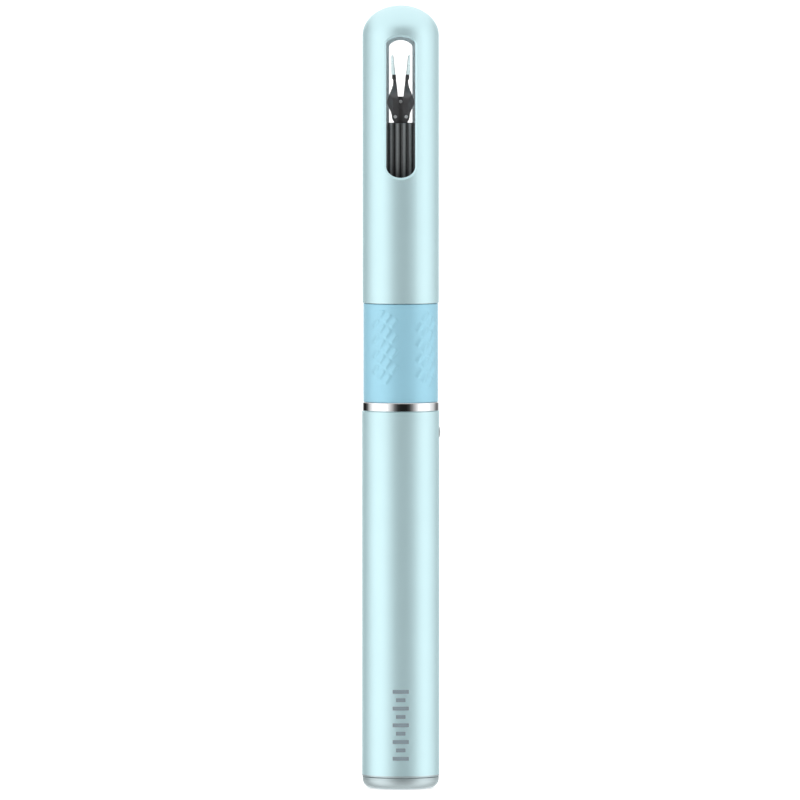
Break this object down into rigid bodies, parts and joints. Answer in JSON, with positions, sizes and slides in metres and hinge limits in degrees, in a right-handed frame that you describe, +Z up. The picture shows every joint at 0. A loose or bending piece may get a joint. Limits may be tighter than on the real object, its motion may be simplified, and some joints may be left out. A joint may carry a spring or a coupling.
{
  "type": "camera ear cleaner pen",
  "caption": "Slim pen-shaped camera ear cleaner with a slotted pull-off cap, silicone squeeze grip and micro tweezers around the camera head.",
  "frame": {"origin": "centre of the end cap's flat bottom face", "axes": "+Z up the pen's axis towards the cap, -Y the front, +X the power button"},
  "size_m": [0.0164, 0.0162, 0.1639],
  "materials": {
    "cap_aluminium": "satin pale cyan anodised",
    "barrel_aluminium": "satin pale cyan anodised",
    "end_cap_metal": "satin",
    "grip_silicone": "matte",
    "trim_chrome": "polished",
    "button_metal": "satin",
    "black_plastic": "semi-gloss",
    "head_metal": "semi-gloss black",
    "tip_silicone": "translucent",
    "steel": "bright",
    "lens_glass": "coated",
    "light_guide": "translucent",
    "gold": "polished",
    "magnet": "nickel plated",
    "board": "solder mask",
    "chip": "moulded",
    "ceramic": "fired",
    "flex_film": "amber film",
    "lead_insulation": "moulded",
    "frame_plastic": "moulded",
    "cell_wrap": "shrink film",
    "foam": "soft",
    "seal_rubber": "matte",
    "mark_paint": "filled"
  },
  "bodies": {
    "housing": {"barrel_tube": "barrel_aluminium", "mark_inlay": "mark_paint", "end_cap": "end_cap_metal", "end_cap_o_ring": "seal_rubber", "charge_contacts": "gold", "dock_magnets": "magnet", "charge_board": "board", "charge_leads": "lead_insulation", "carrier_tray": "frame_plastic", "battery_cell": "cell_wrap", "battery_pad": "foam", "main_board": "board", "shield_can": "steel", "board_chips": "chip", "wifi_antenna": "ceramic", "board_screws": "steel", "button_board": "board", "tact_switch": "chip", "chrome_ring": "trim_chrome", "grip_cage": "frame_plastic", "lever_pins": "steel", "grip_sleeve": "grip_silicone", "return_spring": "steel", "spring_washer": "steel", "nose_cone": "black_plastic", "nose_o_ring": "seal_rubber", "front_tube": "black_plastic", "camera_barrel": "head_metal", "image_sensor_board": "board", "lens_cell": "black_plastic", "camera_lens": "lens_glass", "light_ring": "light_guide", "camera_flex": "flex_film", "jaw_bracket": "head_metal", "bracket_screws": "steel", "jaw_pivot_pins": "steel"},
    "cap": {"cap_shell": "cap_aluminium", "cap_liner": "frame_plastic"},
    "power_button": {"power_button": "button_metal", "button_o_ring": "seal_rubber"},
    "pusher": {"push_tube": "steel", "drive_cone": "frame_plastic", "wedge_fork": "steel"},
    "lever_left": {"lever_left": "frame_plastic"},
    "lever_right": {"lever_right": "frame_plastic"},
    "jaw_left": {"jaw_left": "head_metal", "tip_left": "tip_silicone"},
    "jaw_right": {"jaw_right": "head_metal", "tip_right": "tip_silicone"}
  },
  "joints": [
    {"name": "cap_slide", "type": "slide", "parent": "housing", "child": "cap", "axis": [0, 0, 1], "range_m": [0, 0.062]},
    {"name": "button_slide", "type": "slide", "parent": "housing", "child": "power_button", "axis": [-1, 0, 0], "range_m": [0, 0.0002], "stiffness_N_per_m": 8000},
    {"name": "pusher_slide", "type": "slide", "parent": "housing", "child": "pusher", "axis": [0, 0, 1], "range_m": [0, 0.002], "stiffness_N_per_m": 900, "deforming": ["return_spring"]},
    {"name": "lever_right_hinge", "type": "hinge", "parent": "housing", "child": "lever_right", "pos_m": [0.005, 0, 0.083], "axis": [0, -1, 0], "range_deg": [0, 5.5]},
    {"name": "lever_left_hinge", "type": "hinge", "parent": "housing", "child": "lever_left", "pos_m": [-0.005, 0, 0.083], "axis": [0, 1, 0], "range_deg": [0, 5.5]},
    {"name": "jaw_right_hinge", "type": "hinge", "parent": "housing", "child": "jaw_right", "pos_m": [0.00116, 0, 0.14065], "axis": [0, -1, 0], "range_deg": [0, 6.5]},
    {"name": "jaw_left_hinge", "type": "hinge", "parent": "housing", "child": "jaw_left", "pos_m": [-0.00116, 0, 0.14065], "axis": [0, 1, 0], "range_deg": [0, 6.5]}
  ],
  "couplings": [
    {"joint": "lever_right_hinge", "follows": "pusher_slide", "rad_per_m": 47.996},
    {"joint": "lever_left_hinge", "follows": "pusher_slide", "rad_per_m": 47.996},
    {"joint": "jaw_right_hinge", "follows": "pusher_slide", "rad_per_m": 56.723},
    {"joint": "jaw_left_hinge", "follows": "pusher_slide", "rad_per_m": 56.723}
  ]
}
